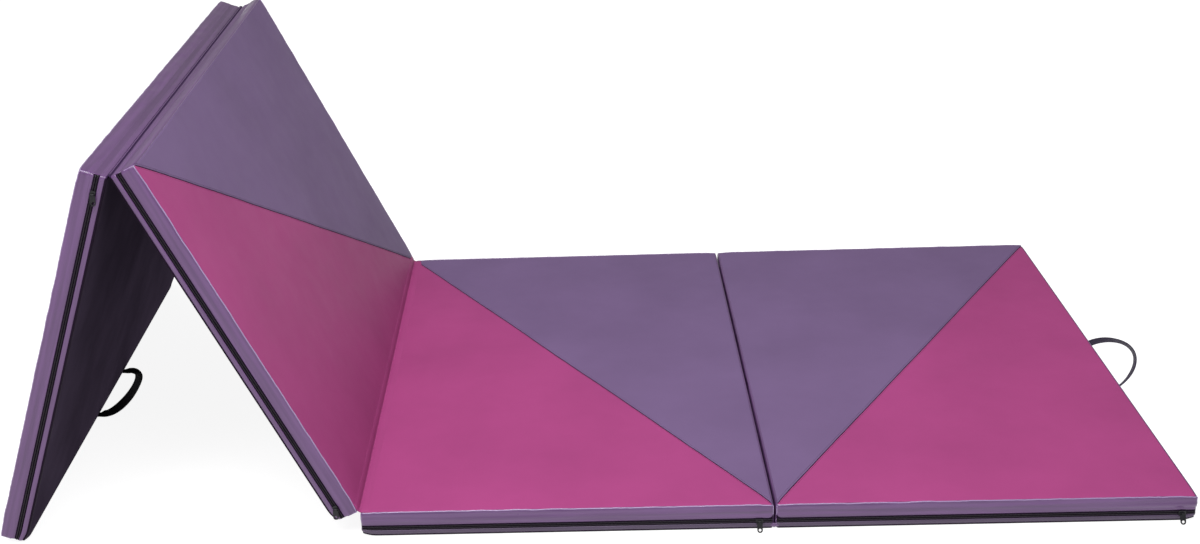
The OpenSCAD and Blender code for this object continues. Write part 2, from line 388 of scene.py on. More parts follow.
PINK = vinyl("vinyl_pink", (0.320, 0.050, 0.176), roughness=0.52, specular=0.08, crease=0.1)
PURPLE = vinyl("vinyl_purple", (0.150, 0.096, 0.200), roughness=0.52, specular=0.08, crease=0.1)
BAND = vinyl("vinyl_purple_band", (0.106, 0.048, 0.140), roughness=0.3, spread=0.24, specular=0.4,
             coat=0.3, crease=0.5, pulled=True)
# a darker copy of the band vinyl for the lower bands of panels 3 and 4: painted shade, as they face
# slightly down
BAND_LOW_SHADED = vinyl("vinyl_purple_low_shaded", (0.070, 0.046, 0.088), roughness=0.34, spread=0.2,
                 specular=0.3, crease=0.4, pulled=True)
# dark purple for the sheet in the valley of the hinge between panels 1 and 2: painted shade where the
# valley falls into shadow
CREASE_SHADE = vinyl("vinyl_purple_crease_shade", (0.026, 0.010, 0.042), roughness=0.5, specular=0.1)
# lighter, glossier lilac than the band: a painted highlight along the rolled top edges and down the
# corners
PIPING_HIGHLIGHT = vinyl("vinyl_piping_highlight", (0.270, 0.185, 0.345), roughness=0.22, specular=0.6, coat=0.6)
BLACK = vinyl("vinyl_black", (0.038, 0.028, 0.046), roughness=0.6, spread=0.25, specular=0.0,
              crease=0.1)
# the hem is much darker than the underside's black: partly the black hem, partly painted shade on the
# rolled bottom edge
HEM_SHADED = vinyl("vinyl_black_hem_shaded", (0.009, 0.004, 0.012), roughness=0.5, spread=0.2, specular=0.06,
            crease=0.1)
TAPE = woven("zipper_tape", (0.009, 0.003, 0.013), 0.0009)
WEBBING = woven("webbing", (0.022, 0.014, 0.038), 0.0016, 0.0005, sheen=0.1, specular=0.25)
# a near-black copy of the webbing for the left loop: painted shade, as it lies in the tent's shadow
WEBBING_SHADED = woven("webbing_shaded", (0.005, 0.004, 0.006), 0.0016, 0.0005)
TEETH = hard("zipper_teeth", (0.010, 0.006, 0.012), 0.0, 0.45)
METAL = hard("zipper_metal", (0.012, 0.012, 0.014), 0.4, 0.4)
THREAD = woven("thread", (0.020, 0.010, 0.028), 0.0006, 0.0002)

# ---------------- tops
FINE_EDGE = [0.0, 0.0007, 0.0016, 0.003, 0.0052, 0.0085, 0.013, 0.02]  # grid lines by an edge
SEAM_CUTS = (0.0008, 0.0018, 0.0035, 0.007)  # and on both sides of the diagonal seam
GRID_STEP = 0.0105


def make_tops(n):
    """The pink and the purple triangle of the top, cut apart along the diagonal seam."""
    xs = grid_lines(X0 + SEAM_IN, X1 - SEAM_IN, GRID_STEP, FINE_EDGE)
    ys = grid_lines(-HALF_W + SEAM_IN, HALF_W - SEAM_IN, GRID_STEP, FINE_EDGE)
    bm = bmesh.new()
    rows = [[bm.verts.new((x, y, 0)) for x in xs] for y in ys]
    for j in range(len(ys) - 1):
        for i in range(len(xs) - 1):
            bm.faces.new((rows[j][i], rows[j][i + 1], rows[j + 1][i + 1], rows[j + 1][i]))
    (ax, ay), _, across, _ = seam_frame(n)
    for d in (0.0, *(sign * cut for cut in SEAM_CUTS for sign in (1, -1))):
        bmesh.ops.bisect_plane(
            bm,
            geom=list(bm.verts) + list(bm.edges) + list(bm.faces),
            dist=1e-7,
            plane_co=(ax + across[0] * d, ay + across[1] * d, 0),
            plane_no=(across[0], across[1], 0),
        )
    bm.verts.index_update()
    co = np.array([v.co[:] for v in bm.verts])
    faces = [tuple(v.index for v in f.verts) for f in bm.faces]
    bm.free()
    middles = np.array([co[list(f)].mean(0) for f in faces])
    side = seam_distance(n, middles[:, 0], middles[:, 1])
    near_sign = np.sign(seam_distance(n, PANEL_L / 2, -HALF_W))
    x, y = round_corners(co[:, 0], co[:, 1], SEAM_IN)
    full = np.stack([x, y, top_height(n, x, y)], 1)
    made = []
    for colour, sign, material in (("pink", near_sign, PINK), ("purple", -near_sign, PURPLE)):
        mine = [f for f, s in zip(faces, side) if s * sign > 0]
        used = sorted({i for f in mine for i in f})
        index = {old: new for new, old in enumerate(used)}
        name = f"panel_{n}_cover_{colour}"
        obj = add_mesh(name, full[used], [tuple(index[i] for i in f) for f in mine], material,
                       PLACE[n])
        thicken(obj)
        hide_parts(f"panel_{n}_top_{colour}")
        made.append(obj)
    return made


# ---------------- side walls
WALL_STEP = 0.0065
CORNER_STEPS = 12
ZIP_END_STEPS = (0.0015, 0.003, 0.0045, 0.008)  # closer columns beside the zipper's ends
TOP_ROWS = (SEAM_IN, 0.0026, 0.0018, 0.0011, 0.0005, 0.00012)  # insets over the rolled edge
UPPER_ROWS = 14
LOWER_ROWS = 7
ROLL_END = 0.0012  # the upper band starts this far below the last of the rows over the edge
PATCH_FLAT = 0.026  # half the width of wall that the handles' patches pull flat


def outline_points():
    """Points round the panel's outline from the near left corner: place, outward normal."""
    pts, normals = [], []

    def straight(a, b, normal, end_steps=()):
        length = (Vector(b) - Vector(a)).length
        count = int(round(length / WALL_STEP))
        ts = set(np.linspace(0, 1, count + 1)[1:-1])
        for d in end_steps:
            ts |= {d / length, 1 - d / length}
        for t in sorted(ts):
            pts.append((a[0] + (b[0] - a[0]) * t, a[1] + (b[1] - a[1]) * t))
            normals.append(normal)

    def arc(cx, cy, start):
        for k in range(CORNER_STEPS + 1):
            a = math.radians(start + 90 * k / CORNER_STEPS)
            pts.append((cx + CORNER_R * math.cos(a), cy + CORNER_R * math.sin(a)))
            normals.append((math.cos(a), math.sin(a)))

    r = CORNER_R
    arc(X0 + r, -HALF_W + r, 180)
    straight((X0 + r, -HALF_W), (X1 - r, -HALF_W), (0, -1), ZIP_END_STEPS)
    arc(X1 - r, -HALF_W + r, 270)
    straight((X1, -HALF_W + r), (X1, HALF_W - r), (1, 0))
    arc(X1 - r, HALF_W - r, 0)
    straight((X1 - r, HALF_W), (X0 + r, HALF_W), (0, 1))
    arc(X0 + r, HALF_W - r, 90)
    straight((X0, HALF_W - r), (X0, -HALF_W + r), (-1, 0))
    return np.array(pts), np.array(normals)


OUT_PTS, OUT_NORMALS = outline_points()
OUT_RUN = np.concatenate([[0], np.cumsum(np.hypot(*np.diff(OUT_PTS, axis=0).T))])
OUT_COUNT = len(OUT_PTS)
ZIP_OPEN = OUT_NORMALS[:, 1] < -0.5  # the columns that the zipper runs along


def band_edge(n):
    """Lower edge of the upper band all round: it rises in a curve where the zipper ends."""
    x, y = OUT_PTS[:, 0], OUT_PTS[:, 1]
    r = np.where(x < PANEL_L / 2, *BAND_CORNER[n])
    t = np.clip(1 - np.minimum(x - X0, X1 - x) / r, 0, 0.9)
    rise = r * (1 - np.sqrt(1 - t**2))
    past_corner = np.maximum(y - (NEAR_Y + 0.5 * CORNER_R), 0)
    return ZIP_Z1 + rise * np.exp(-((past_corner / CORNER_R) ** 2))


def base_arc(turn):
    """Inset and height of a point on the bottom edge, at an angle round its roll."""
    a = math.radians(turn)
    return BASE_ROLL * (1 - math.cos(a)), BASE_ROLL * (1 - math.sin(a))


def hinge_side(n):
    """1 along the end wall that has the underside hinge, falling to 0 round its corners."""
    return np.clip(OUT_NORMALS[:, 0] * (1 if n % 2 else -1), 0, 1) ** 2


def hem_top(n):
    """Height of the black hem all round."""
    near_side = np.clip(-OUT_NORMALS[:, 1], 0, 1) ** 2
    return (HEM_TOP + (HEM_TOP_NEAR.get(n, HEM_TOP) - HEM_TOP) * near_side
            + (HEM_TOP_HINGE - HEM_TOP) * hinge_side(n))


def lower_inset(n, height):
    """How far in the side wall lies at a height below the zipper."""
    share = np.clip((ZIP_Z0 - height) / (ZIP_Z0 - BASE_ROLL), 0, 1)
    tuck = TUCK * share**2 * (1 - 0.7 * hinge_side(n))
    return np.maximum(tuck, roll_drop(height, BASE_ROLL))


def inward(inset, columns=slice(None)):
    """Places on the outline, moved in from it."""
    return (OUT_PTS[columns] - OUT_NORMALS[columns] * np.reshape(inset, (-1, 1))).T


def ring(n, inset, height):
    """One closed row of points round the panel."""
    x, y = inward(inset)
    height = height + base_lift(n, x, y, height)
    return np.stack([x, y, height], 1)


def grid_faces(rows, columns, start):
    """Faces between rows of points that follow each other."""
    corners = [start + r * columns + c for r in range(rows - 1) for c in range(columns - 1)]
    return [(a, a + columns, a + columns + 1, a + 1) for a in corners]


def ring_faces(rows, skip=()):
    faces = []
    for r in range(rows - 1):
        for c in range(OUT_COUNT):
            d = (c + 1) % OUT_COUNT
            if r in skip and ZIP_OPEN[c] and ZIP_OPEN[d]:
                continue
            a, b = r * OUT_COUNT, (r + 1) * OUT_COUNT
            faces.append((a + c, b + c, b + d, a + d))
    return faces


def wrinkles(n, z):
    """Long creases that run lengthwise in the near wall, much fainter in the others."""
    share = 0.3 + 0.7 * np.clip(-OUT_NORMALS[:, 1], 0, 1)
    return share * Waves(90 + n, CREASE_LONG)(OUT_RUN, z * CREASES_UP)


def make_wall(n):
    """The rolled top edge, the upper band, the zipper's opening and the lower band."""
    soft = Waves(50 + n, 0.05)(OUT_RUN)
    slow = Waves(60 + n, 0.22)(OUT_RUN)
    upper_low = band_edge(n)
    lower_top = np.full(OUT_COUNT, ZIP_Z0)
    flat = 1 - 0.9 * np.exp(-(((np.abs(OUT_PTS[:, 1]) - PATCH_Y) / PATCH_FLAT) ** 4))
    flat = np.where(np.abs(OUT_NORMALS[:, 0]) > 0.99, flat, 1)
    rows = []
    for e in TOP_ROWS:
        x, y = inward(e)
        rows.append(np.stack([x, y, top_height(n, x, y)], 1))
    top = rows[-1][:, 2] - ROLL_END
    for share in np.linspace(0, 1, UPPER_ROWS):
        z = top + (upper_low - top) * share
        swell = math.sin(math.pi * (0.08 + 0.92 * share) ** 0.9)
        out = WALL_BULGE * (1 + 0.45 * soft + 0.3 * slow) + CREASE_DEPTH * wrinkles(n, z)
        rows.append(ring(n, -out * swell * flat, z))
    lip = len(rows)
    depth = np.where(ZIP_OPEN, LIP, 0.0)
    rows.append(ring(n, depth, upper_low))
    rows.append(ring(n, depth, lower_top))
    for share in np.linspace(0, 1, LOWER_ROWS):
        z = lower_top + (hem_top(n) - lower_top) * share
        swell = LOW_BULGE * math.sin(math.pi * (0.2 + 0.8 * share))
        out = swell * (1 + 0.7 * soft) + LOW_CREASE_DEPTH * wrinkles(n, z) * (1 - share)
        rows.append(ring(n, lower_inset(n, z) - out * flat, z))
    faces = ring_faces(len(rows), {lip})
    obj = add_mesh(f"panel_{n}_cover_wall", np.concatenate(rows), faces, BAND, PLACE[n])
    # panels 3 and 4 take the darker copy on their lower band: painted shade
    obj.data.materials.append(BAND if n < 3 else BAND_LOW_SHADED)
    skipped = int(np.count_nonzero(ZIP_OPEN)) - 1
    lower_band = (len(rows) - 1 - LOWER_ROWS) * OUT_COUNT - skipped
    for face in obj.data.polygons[lower_band:]:
        face.material_index = 1
    thicken(obj)
    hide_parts(f"panel_{n}_border", f"panel_{n}_lower_band", f"panel_{n}_foam")
    return obj


def tube(path, frames, radius, closed, sides=6):
    """Points and faces of a tube along a path, from each point's two cross directions."""
    count = len(path)
    turns = np.linspace(0, 2 * math.pi, sides, endpoint=False)
    verts = [path + radius * (math.cos(a) * frames[0] + math.sin(a) * frames[1]) for a in turns]
    faces = []
    for i in range(count if closed else count - 1):
        j = (i + 1) % count
        for k in range(sides):
            m = (k + 1) % sides
            faces.append((i * sides + k, i * sides + m, j * sides + m, j * sides + k))
    if not closed:
        faces.append(tuple(reversed(range(sides))))
        faces.append(tuple((count - 1) * sides + k for k in range(sides)))
    return np.stack(verts, 1).reshape(-1, 3), faces


PIPED_ENDS = (1,)  # panels whose end walls have piping too
PIPE_R, ARM_R = 0.00125, 0.0009  # the piping's cord, and the thinner one down the corners
PIPE_IN, PIPE_DEEP = 0.0017, 0.0006  # the cord's place, in from the outline and below the top
ARM_OUT = 0.0006  # the thinner cord's middle is this far outside the corner
ARM_LOW, ARM_HIGH = ZIP_Z1 + 0.006, THICK - 0.0025
ARM_POINTS = 9
UP = np.array([0.0, 0.0, 1.0])


def join(verts, faces, more, more_faces):
    """Adds a part to lists of points and faces that are still being gathered."""
    start = sum(len(v) for v in verts)
    faces += [tuple(i + start for i in f) for f in more_faces]
    verts.append(more)


def kept_runs(keep):
    """Runs of neighbouring columns that are kept, round the closed outline."""
    if keep.all():
        return [np.arange(OUT_COUNT)]
    order = np.roll(np.arange(OUT_COUNT), -int(np.argmax(~keep)))
    runs = np.split(order, np.flatnonzero(np.diff(keep[order].astype(int))) + 1)
    return [run for run in runs if keep[run[0]]]


def make_piping(n):
    """The folded edge of vinyl along the top seam, and down the corners to the zipper, in lighter
    lilac: a painted highlight.
    """
    keep = np.ones(OUT_COUNT, bool)
    if n not in PIPED_ENDS:
        keep = np.abs(OUT_NORMALS[:, 0]) < 0.9
    verts, faces = [], []
    for order in kept_runs(keep):
        run, normals = OUT_RUN[order], OUT_NORMALS[order]
        wander = 0.0005 * Waves(100 + n, 0.06)(run)
        wander = wander + 0.0003 * Waves(110 + n, 0.014)(run)
        e = PIPE_IN + wander * 0.6
        x, y = inward(e, order)
        path = np.stack([x, y, top_height(n, x, y, False) - PIPE_DEEP + wander], 1)
        out = np.stack([normals[:, 0], normals[:, 1], run * 0], 1)
        join(verts, faces, *tube(path, (out, UP), PIPE_R, len(order) == OUT_COUNT, 8))
    for sx, sy in ((-1, -1), (1, -1), (-1, 1), (1, 1)):
        heights = np.linspace(ARM_LOW, ARM_HIGH, ARM_POINTS)
        wander = 0.0003 * Waves(150 + n, 0.02)(heights, sx + 2 * sy)
        arm = (CORNER_R + ARM_OUT + wander) / math.sqrt(2) - CORNER_R
        x = (X0 if sx < 0 else X1) + sx * arm
        path = np.stack([x, sy * (HALF_W + arm), heights], 1)
        across = np.array([sx, -sy, 0]) / math.sqrt(2)
        out = np.array([sx, sy, 0]) / math.sqrt(2)
        join(verts, faces, *tube(path, (out, across), ARM_R, False, 8))
    obj = add_mesh(f"panel_{n}_piping", np.concatenate(verts), faces, PIPING_HIGHLIGHT, PLACE[n])
    return obj


# ---------------- undersides
HEM_LOW = 0.0019  # the hem's straight part ends at this height
HEM_SHARES = (0, 0.33, 0.67, 1)
ROLL_TURNS = (45, 55, 65, 73, 80)  # rows round the bottom edge, in degrees
SHEET_TURN = 85  # where the flat sheet starts
BASE_STEP = 0.014
BASE_FINE = [0.0, 0.002, 0.006, 0.014]  # grid lines by the sheet's edge


def make_underside(n):
    """The black sheet with its hem, which wraps round the bottom edge to the side wall."""
    heights = [hem_top(n) + (HEM_LOW - hem_top(n)) * share for share in HEM_SHARES]
    heights += [OUT_RUN * 0 + base_arc(turn)[1] for turn in ROLL_TURNS]
    rows = [ring(n, lower_inset(n, z), z) for z in heights]
    inset, rim_z = base_arc(SHEET_TURN)
    xs = grid_lines(X0 + inset, X1 - inset, BASE_STEP, BASE_FINE)
    ys = grid_lines(-HALF_W + inset, HALF_W - inset, BASE_STEP, BASE_FINE)
    gx, gy = np.meshgrid(xs, ys)
    x, y = round_corners(gx.ravel(), gy.ravel(), inset)
    e = np.maximum(inset_of(x, y) - inset, 0)
    free = 1 - np.exp(-e / 0.02)
    z = SAG * free * (1 + Waves(70 + n, SAG_LONG)(x, y)) + rim_z * np.exp(-e / 0.002)
    z = z + SAG_RIPPLE * free * (1 + Waves(80 + n, SAG_RIPPLE_LONG)(x, y))
    z = z + base_lift(n, x, y, z)
    nx = len(xs)
    hem = np.concatenate(rows)
    start = len(hem)
    faces = ring_faces(len(rows)) + grid_faces(len(ys), nx, start)
    # the grid's rim, in the outline's order, is sewn to the last row by nearest place
    sheet = np.stack([x, y, z], 1)
    rim = (
        [j * nx for j in range(len(ys) - 1, 0, -1)]
        + list(range(nx - 1))
        + [j * nx + nx - 1 for j in range(len(ys) - 1)]
        + [(len(ys) - 1) * nx + i for i in range(nx - 1, 0, -1)]
    )
    last = (len(rows) - 1) * OUT_COUNT
    faces += sew(hem[last:], last, sheet[rim], [start + i for i in rim])
    obj = add_mesh(f"panel_{n}_cover_base", np.concatenate([hem, sheet]), faces, BLACK, PLACE[n])
    # the hem rows take the darker vinyl: black hem with painted shade
    obj.data.materials.append(HEM_SHADED)
    hem_faces = (len(heights) - 1) * OUT_COUNT
    for face in obj.data.polygons[:hem_faces]:
        face.material_index = 1
    thicken(obj)
    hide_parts(f"panel_{n}_underside")
    return obj


def sew(outer, outer_start, inner, inner_ids):
    """Triangles between two closed loops of points that run the same way round."""
    inner = np.asarray(inner)
    begin = int(np.argmin(np.hypot(*(inner[:, :2] - outer[0, :2]).T)))
    inner_ids = inner_ids[begin:] + inner_ids[:begin]
    inner = np.roll(inner, -begin, 0)

    def shares(loop):
        run = np.concatenate([[0], np.cumsum(np.hypot(*np.diff(loop[:, :2], axis=0).T))])
        return run / (run[-1] + np.hypot(*(loop[0, :2] - loop[-1, :2])))

    a_run, b_run = shares(outer), shares(inner)
    a_run, b_run = np.append(a_run, 1), np.append(b_run, 1)
    i = j = 0
    made = []
    while i < len(outer) or j < len(inner):
        a0 = outer_start + i % len(outer)
        b0 = inner_ids[j % len(inner)]
        if j >= len(inner) or (i < len(outer) and a_run[i + 1] <= b_run[j + 1]):
            made.append((a0, b0, outer_start + (i + 1) % len(outer)))
            i += 1
        else:
            made.append((a0, b0, inner_ids[(j + 1) % len(inner)]))
            j += 1
    return made


# ---------------- zippers
SLIT = 0.0009  # half the slit between the tapes
TAPE_UNDER = 0.0012  # the tapes run on behind the bands' edges
TAPE_BACK, TAPE_FRONT, TAPE_LIP = 0.0013, 0.0005, 0.0006  # insets across a tape
TAPE_EDGE = 0.003  # distance of its foremost line from the slit's middle
LINING_IN, LINING_DEEP = 0.0030, 0.0032  # insets of the lining's edges and middle
TOOTH_PITCH = 0.0024
TOOTH_AT = 0.00185  # a row's distance from the slit's middle
TOOTH_HALF_L, TOOTH_HALF_W, TOOTH_H = 0.00072, 0.00115, 0.00112
TOOTH_ROOT = 0.00052  # a tooth starts this far inside the wall's outline
TOOTH_TAPER = 0.78  # its front face to its back face
ZIP_END = 0.002  # the rows of teeth stop this far from the tapes' ends
LOOK_AHEAD = 0.001  # a tooth points to the place this far along


def make_zip(n):
    """The tapes with the dark lining behind them, and the two rows of teeth."""
    columns = [c for c in range(OUT_COUNT) if ZIP_OPEN[c]]
    order = sorted(columns, key=lambda c: OUT_PTS[c, 0])
    pts, normals = OUT_PTS[order], OUT_NORMALS[order]
    upper, lower = band_edge(n)[order] + TAPE_UNDER, ZIP_Z0 - TAPE_UNDER
    wave = 0.0002 * Waves(120 + n, 0.04)(pts[:, 0])
    verts, faces = [], []

    def strip(*levels):
        """A strip of tape through rows at the given heights and insets."""
        start = sum(len(v) for v in verts)
        for level, inset in levels:
            x, y = inward(inset + wave, order)
            verts.append(np.stack([x, y, level + x * 0], 1))
        faces.extend(grid_faces(len(levels), len(order), start))

    strip((upper, TAPE_BACK), (ZIP_Z + TAPE_EDGE, TAPE_FRONT), (ZIP_Z + SLIT, TAPE_LIP),
          (ZIP_Z + SLIT, TAPE_BACK))
    strip((ZIP_Z - SLIT, TAPE_BACK), (ZIP_Z - SLIT, TAPE_LIP), (ZIP_Z - TAPE_EDGE, TAPE_FRONT),
          (lower, TAPE_BACK))
    strip((upper, LINING_IN), (ZIP_Z, LINING_DEEP), (lower, LINING_IN))
    tape = add_mesh(f"panel_{n}_zip_tape", np.concatenate(verts), faces, TAPE, PLACE[n])
    thicken(tape, TAPE_T)
    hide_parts(f"panel_{n}_zipper_tape")

    run = np.concatenate([[0], np.cumsum(np.sqrt((np.diff(pts, axis=0) ** 2).sum(1)))])

    def along(s0, columns):
        return np.array([np.interp(s0, run, column) for column in columns.T] + [0.0])

    tooth_verts, tooth_faces = [], []
    corners = [(x, y, z) for x in (-1, 1) for y in (0, 1) for z in (-1, 1)]
    box_faces = [(0, 1, 3, 2), (4, 6, 7, 5), (0, 4, 5, 1), (2, 3, 7, 6), (0, 2, 6, 4), (1, 5, 7, 3)]
    stations = np.arange(ZIP_END, run[-1] - ZIP_END, TOOTH_PITCH)
    for row, sign in ((0, 1), (1, -1)):
        for s0 in stations + row * TOOTH_PITCH / 2:
            place = along(s0, pts)
            t = along(min(s0 + LOOK_AHEAD, run[-1]), pts) - place
            t /= np.linalg.norm(t) + 1e-12
            out = along(s0, normals)
            out /= np.linalg.norm(out)
            across = np.cross(out, t)
            middle = place + np.array([0, 0, ZIP_Z]) + across * sign * TOOTH_AT
            base = len(tooth_verts)
            for cx, cy, cz in corners:
                taper = TOOTH_TAPER if cy else 1.0
                tooth_verts.append(middle + t * cx * TOOTH_HALF_L * taper
                                   + out * (cy * TOOTH_H - TOOTH_ROOT)
                                   + across * cz * TOOTH_HALF_W * taper)
            tooth_faces += [tuple(base + i for i in f) for f in box_faces]
    teeth = add_mesh(f"panel_{n}_zip_teeth", np.array(tooth_verts), tooth_faces, TEETH, PLACE[n],
                     rounded=False)
    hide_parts(f"panel_{n}_zipper_teeth")
    return tape, teeth


# ---------------- seams and stitches
SEAM_END = 0.012  # the diagonal seam's thread stops this far from the corners
CORD_R, CORD_STEP, CORD_OUT = 0.0009, 0.004, 0.00025
STITCH_PITCH, STITCH_OFF = 0.0046, 0.0042  # along the seam, and to each side of it
STITCH_SUNK = 0.00008


def dashes(starts, directions, ups, length=0.0028, width=0.00042, height=0.00038):
    """Short raised stitches: a lozenge each, lying along its direction."""
    verts, faces = [], []
    roof = [(end, *way) for end in (-0.3, 0.3) for way in ((1, 0), (0, 1), (-1, 0))]
    for p, t, up in zip(starts, directions, ups):
        side = np.cross(up, t)
        base = len(verts)
        for along, spread, lift in ((-0.5, 0, 0), *roof, (0.5, 0, 0)):
            verts.append(p + t * along * length + side * spread * width + up * lift * height)
        faces += [tuple(base + i for i in f) for f in (
            (0, 2, 1), (0, 3, 2), (1, 2, 5, 4), (2, 3, 6, 5), (4, 5, 7), (5, 6, 7),
            (0, 1, 4, 7), (0, 7, 6, 3))]
    return np.array(verts), faces


def make_seam(n):
    """The diagonal seam: a cord of thread in the groove, and a row of topstitches each side."""
    (ax, ay), along, across, length = seam_frame(n)
    run = np.arange(SEAM_END, length - SEAM_END, CORD_STEP)
    wobble = 0.00025 * Waves(130 + n, 0.05)(run)
    x = ax + along[0] * run + across[0] * wobble
    y = ay + along[1] * run + across[1] * wobble
    path = np.stack([x, y, top_height(n, x, y) + CORD_OUT], 1)
    verts, faces = [], []
    join(verts, faces, *tube(path, (np.array([*across, 0.0]), UP), CORD_R, False))
    stitch_run = np.arange(SEAM_END, length - SEAM_END, STITCH_PITCH)
    starts = []
    for d in (STITCH_OFF, -STITCH_OFF):
        sx = ax + along[0] * stitch_run + across[0] * d
        sy = ay + along[1] * stitch_run + across[1] * d
        starts.append(np.stack([sx, sy, top_height(n, sx, sy) - STITCH_SUNK], 1))
    starts = np.concatenate(starts)
    ways = [np.array([*along, 0.0])] * len(starts)
    join(verts, faces, *dashes(starts, ways, [UP] * len(starts)))
    obj = add_mesh(f"panel_{n}_seam", np.concatenate(verts), faces, THREAD, PLACE[n])
    return obj


# ---------------- hinges
# the top hinge's strip, from its edge on a panel to the hinge: distance in from the panel's end
# wall, and height over the plain top
TOP_STRIP = ((0.0175, -0.0009), (0.0155, -0.0002), (0.0135, 0.00025), (0.011, 0.00045),
             (0.008, 0.0006), (0.005, 0.0006), (0.0028, 0.0004), (0.001, -0.0001))
TOP_STRIP_END = 0.0045  # its ends are this far in from the near and the far wall
CREASE_HALF_W, CREASE_RIM, CREASE_DEEP = 0.0008, 0.0002, 0.0009
# the bottom hinges' ends: distance in from the near wall, and height
TUCKED_END = ((0.0034, 0.0010), (0.0030, 0.0022), (0.0034, 0.0034), (0.006, 0.004))
BAND_END = ((0.0024, 0.0036), (0.0014, 0.0050), (0.0005, 0.0080), (0.0004, 0.0100),
            (0.0014, 0.0115), (0.0035, 0.0112), (0.0065, 0.0098), (0.010, 0.0072))
STRIP_DEEP, STRIP_Z = 0.016, 0.004  # between the ends the strip runs straight, at this height
STRIP_ON = 0.0028  # how far it lies onto each hem
STRIP_SAG, STRIP_END_SAG = 0.0031, 0.0004  # how far its middle draws in
STRIP_LOW = 0.0009  # it stays this high above the panels' undersides


def plain_top(n, x, y):
    """The top face carried straight on over its rolled edge."""
    return top_height(n, x, y, False) + roll_drop(inset_of(x, y), EDGE_ROLL)


def grid_sheet(name, rows, material):
    """A sheet from rows of points in the row frame, all of the same length."""
    size = len(rows[0])
    faces = [(r * size + c, r * size + c + 1, (r + 1) * size + c + 1, (r + 1) * size + c)
             for r in range(len(rows) - 1) for c in range(size - 1)]
    return add_mesh(name, np.concatenate(rows), faces, material, Matrix.Identity(4))


def to_row(n, points):
    """Points of panel n's own frame in the row frame."""
    m = np.array(PLACE[n])
    return points @ m[:3, :3].T + m[:3, 3]


def make_top_hinge():
    """The pink vinyl that runs on from panel 3 over the hinge onto panel 2, with a soft crease."""
    y = np.linspace(-HALF_W + TOP_STRIP_END, HALF_W - TOP_STRIP_END, 150)
    ripple = 0.00012 * Waves(140, 0.035)(y)
    rows = []
    for e, lift in TOP_STRIP:
        x = X0 + e + y * 0
        rows.append(to_row(3, np.stack([x, y, plain_top(3, x, y) + lift + ripple], 1)))
    crease = np.stack([y * 0 + FOLD_23.x, y, y * 0 + THICK], 1)
    bisector = np.array([-math.sin(LEAN_2 / 2), 0, math.cos(LEAN_2 / 2)])
    rows.append(crease - bisector * CREASE_RIM + np.array([CREASE_HALF_W, 0, 0]))
    rows.append(crease - bisector * (CREASE_DEEP + ripple[:, None]))
    up_2 = np.array([-math.cos(LEAN_2), 0, math.sin(LEAN_2)])
    rows.append(crease - bisector * CREASE_RIM + up_2 * CREASE_HALF_W)
    for e, lift in reversed(TOP_STRIP):
        x = X1 - e + y * 0
        rows.append(to_row(2, np.stack([x, y, plain_top(2, x, y) + lift + ripple], 1)))
    obj = grid_sheet("hinge_2_3_vinyl", rows, PINK)
    thicken(obj, SHEET_T, 1.0)
    obj.data.flip_normals()
    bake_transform(obj)


def make_bottom_hinge(left, right, lip, material):
    """Vinyl between two panels' hems, which draws into the crease between their end walls."""
    path = [(-HALF_W + d, z) for d, z in lip]
    path += [(y, STRIP_Z) for y in np.linspace(-HALF_W + STRIP_DEEP, HALF_W - STRIP_DEEP, 64)]
    path += [(HALF_W - d, z) for d, z in reversed(lip)]
    columns = np.linspace(-1, 1, 9)
    share = smooth(0.5 + 0.5 * columns)[:, None]
    rows = []
    for y, z in path:
        inset = HALF_W - abs(y)
        reach = GAP + STRIP_ON
        if inset < CORNER_R:
            reach += roll_drop(max(inset, 0.0004), CORNER_R)
        sag = STRIP_SAG if inset > STRIP_DEEP - 0.001 else STRIP_END_SAG
        heights = np.maximum(z - sag * (1 - np.abs(columns)) ** 0.8, STRIP_LOW)
        points = np.stack([columns * reach, y + columns * 0, heights], 1)
        rows.append((1 - share) * to_row(left, points + np.array([PANEL_L, 0, 0]))
                    + share * to_row(right, points))
    obj = grid_sheet(f"hinge_{left}_{right}_vinyl", rows, material)
    thicken(obj, SHEET_T, 0.0)
    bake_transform(obj)


# ---------------- handles
STRAP_W = 0.018
STRAP_T = 0.0016
HOOP_X = 0.018  # the loop's straight ends are this long
RIGHT_ROLL, RIGHT_TWIST = 23, 79  # degrees it rolls near its ends, and then onto its edge
TWIST_FROM, TWIST_OVER = 30, 100  # where round the hoop that happens, in degrees
RIGHT_WAVE = 0.002  # the right loop's middle line rises and falls by this much
LEFT_LEANS = (27, 59, -16)  # the left loop's lean at its near end, middle and far end
LEFT_RISE = 0.12  # the left loop's slope off the floor
ROLL_RIGHT = (0.007, 0.014)  # the roll starts this far out, and takes this long
ROLL_LEFT = (0.002, 0.014)


def ribbon(side, path, wide, material):
    """Webbing along a path, with its width along the given direction at each point."""
    tangent = unit(np.gradient(path, axis=0))
    wide = unit(wide - (wide * tangent).sum(1)[:, None] * tangent)
    face = np.cross(tangent, wide)
    section = [(-1, 0.35), (-0.96, 0.8), (-0.9, 1.0), (-0.3, 0.94), (0.3, 0.94), (0.9, 1.0),
               (0.96, 0.8), (1, 0.35)]
    section += [(-a, -b) for a, b in section]
    rings = [path + wide * a * STRAP_W / 2 + face * b * STRAP_T / 2 for a, b in section]
    size = len(section)
    verts = np.stack(rings, 1).reshape(-1, 3)
    faces = [(i * size + k, (i + 1) * size + k, (i + 1) * size + (k + 1) % size,
              i * size + (k + 1) % size) for i in range(len(path) - 1) for k in range(size)]
    faces.append(tuple(range(size)))
    faces.append(tuple((len(path) - 1) * size + k for k in reversed(range(size))))
    obj = add_mesh(f"handle_{side}_webbing", verts, faces, material, Matrix.Identity(4))
    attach(obj, f"handle_{side}")
    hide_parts(f"handle_{side}_loop")


